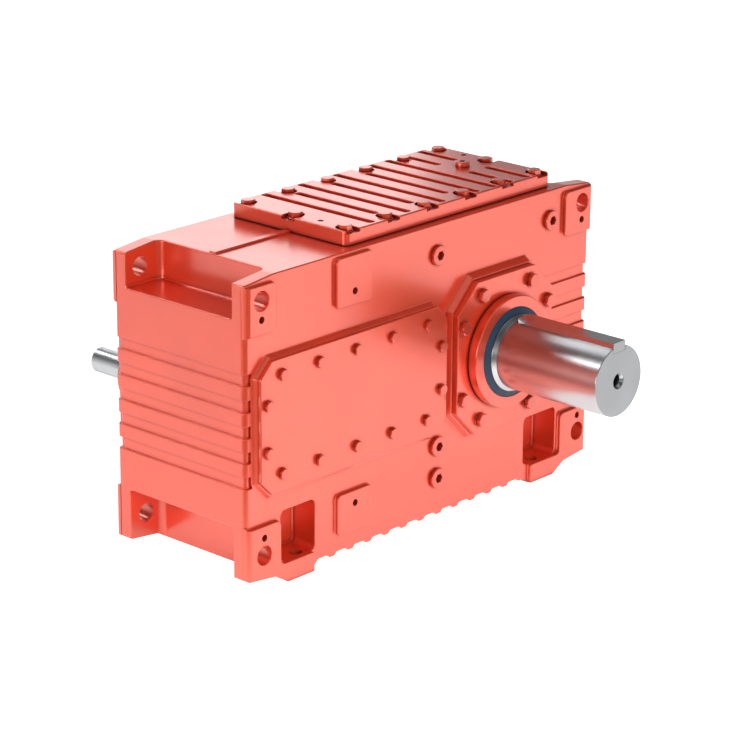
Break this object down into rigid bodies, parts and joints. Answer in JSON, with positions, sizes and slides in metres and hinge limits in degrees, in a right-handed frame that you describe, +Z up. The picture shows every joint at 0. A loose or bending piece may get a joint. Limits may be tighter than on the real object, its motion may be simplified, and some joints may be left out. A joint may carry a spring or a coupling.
{
  "type": "parallel shaft gear reducer",
  "caption": "Foot-mounted helical gear reducer in a one-piece ribbed red housing, thick keyed output shaft at the front, thin keyed input shaft at the rear.",
  "frame": {"origin": "on the foot plane, under the middle of the bounding box of the whole reducer, shafts included (72 mm in front of the middle of the housing)", "axes": "+Z up; +X along the housing from the input end to the output end; -Y towards the side where the output shaft comes out"},
  "size_m": [0.975, 0.802, 0.636],
  "materials": {
    "red_paint": "glossy coral red machine enamel over cast iron",
    "painted_fasteners": "the same red enamel over steel hex bolts and screw plugs",
    "shaft_steel": "fine ground steel",
    "key_steel": "drawn key steel",
    "gear_steel": "case-hardened gear steel, oiled",
    "bearing_steel": "ground bearing steel",
    "seal_rubber": "dark blue nitrile, satin",
    "gasket": "thin dark sealing sheet"
  },
  "bodies": {
    "housing_body": {"first_intermediate_front_bearing_cup": "bearing_steel", "first_intermediate_rear_bearing_cup": "bearing_steel", "front_bearing_cover": "red_paint", "front_check_plug": "painted_fasteners", "front_drain_plug": "painted_fasteners", "front_fill_plug": "painted_fasteners", "front_level_plug": "painted_fasteners", "housing": "red_paint", "input_front_bearing_cup": "bearing_steel", "input_rear_bearing_cup": "bearing_steel", "input_seal_retainer": "red_paint", "input_shaft_seal": "seal_rubber", "inspection_cover": "red_paint", "inspection_cover_gasket": "gasket", "output_bearing_cover": "red_paint", "output_cover_bolt_1": "painted_fasteners", "output_cover_bolt_2": "painted_fasteners", "output_cover_bolt_3": "painted_fasteners", "output_cover_bolt_4": "painted_fasteners", "output_cover_bolt_5": "painted_fasteners", "output_cover_bolt_6": "painted_fasteners", "output_cover_bolt_7": "painted_fasteners", "output_cover_bolt_8": "painted_fasteners", "output_front_bearing_cup": "bearing_steel", "output_rear_bearing_cup": "bearing_steel", "output_seal_retainer": "red_paint", "output_shaft_seal": "seal_rubber", "rear_bearing_cover": "red_paint", "rear_check_plug": "painted_fasteners", "rear_drain_plug": "painted_fasteners", "rear_fill_plug": "painted_fasteners", "rear_level_plug": "painted_fasteners", "rear_output_cover": "red_paint", "second_intermediate_front_bearing_cup": "bearing_steel", "second_intermediate_rear_bearing_cup": "bearing_steel", "vent_plug": "painted_fasteners"},
    "input_shaft_body": {"input_front_bearing_cone": "bearing_steel", "input_pinion_shaft": "shaft_steel", "input_rear_bearing_cone": "bearing_steel", "input_shaft_key": "key_steel"},
    "first_intermediate_body": {"first_intermediate_front_bearing_cone": "bearing_steel", "first_intermediate_pinion_shaft": "gear_steel", "first_intermediate_rear_bearing_cone": "bearing_steel", "first_intermediate_spacer": "gear_steel", "first_stage_gear": "gear_steel", "first_stage_gear_key": "key_steel"},
    "second_intermediate_body": {"second_intermediate_front_bearing_cone": "bearing_steel", "second_intermediate_pinion_shaft": "gear_steel", "second_intermediate_rear_bearing_cone": "bearing_steel", "second_intermediate_spacer": "gear_steel", "second_stage_gear": "gear_steel", "second_stage_gear_key": "key_steel"},
    "output_shaft_body": {"output_front_bearing_cone": "bearing_steel", "output_gear": "gear_steel", "output_gear_key": "key_steel", "output_rear_bearing_cone": "bearing_steel", "output_shaft": "shaft_steel", "output_shaft_key": "key_steel", "output_spacer": "gear_steel"}
  },
  "joints": [
    {"name": "output_spin", "type": "hinge", "parent": "housing_body", "child": "output_shaft_body", "pos_m": [0.2005, 0.072, 0.315], "axis": [0, 1, 0], "continuous": true},
    {"name": "second_intermediate_spin", "type": "hinge", "parent": "housing_body", "child": "second_intermediate_body", "pos_m": [-0.0655, 0.072, 0.315], "axis": [0, 1, 0], "continuous": true},
    {"name": "first_intermediate_spin", "type": "hinge", "parent": "housing_body", "child": "first_intermediate_body", "pos_m": [-0.2455, 0.072, 0.315], "axis": [0, 1, 0], "continuous": true},
    {"name": "input_spin", "type": "hinge", "parent": "housing_body", "child": "input_shaft_body", "pos_m": [-0.3795, 0.072, 0.315], "axis": [0, 1, 0], "continuous": true}
  ],
  "couplings": [
    {"joint": "second_intermediate_spin", "follows": "output_spin", "ratio": -3.75},
    {"joint": "first_intermediate_spin", "follows": "output_spin", "ratio": 13.125},
    {"joint": "input_spin", "follows": "output_spin", "ratio": -38.603}
  ]
}
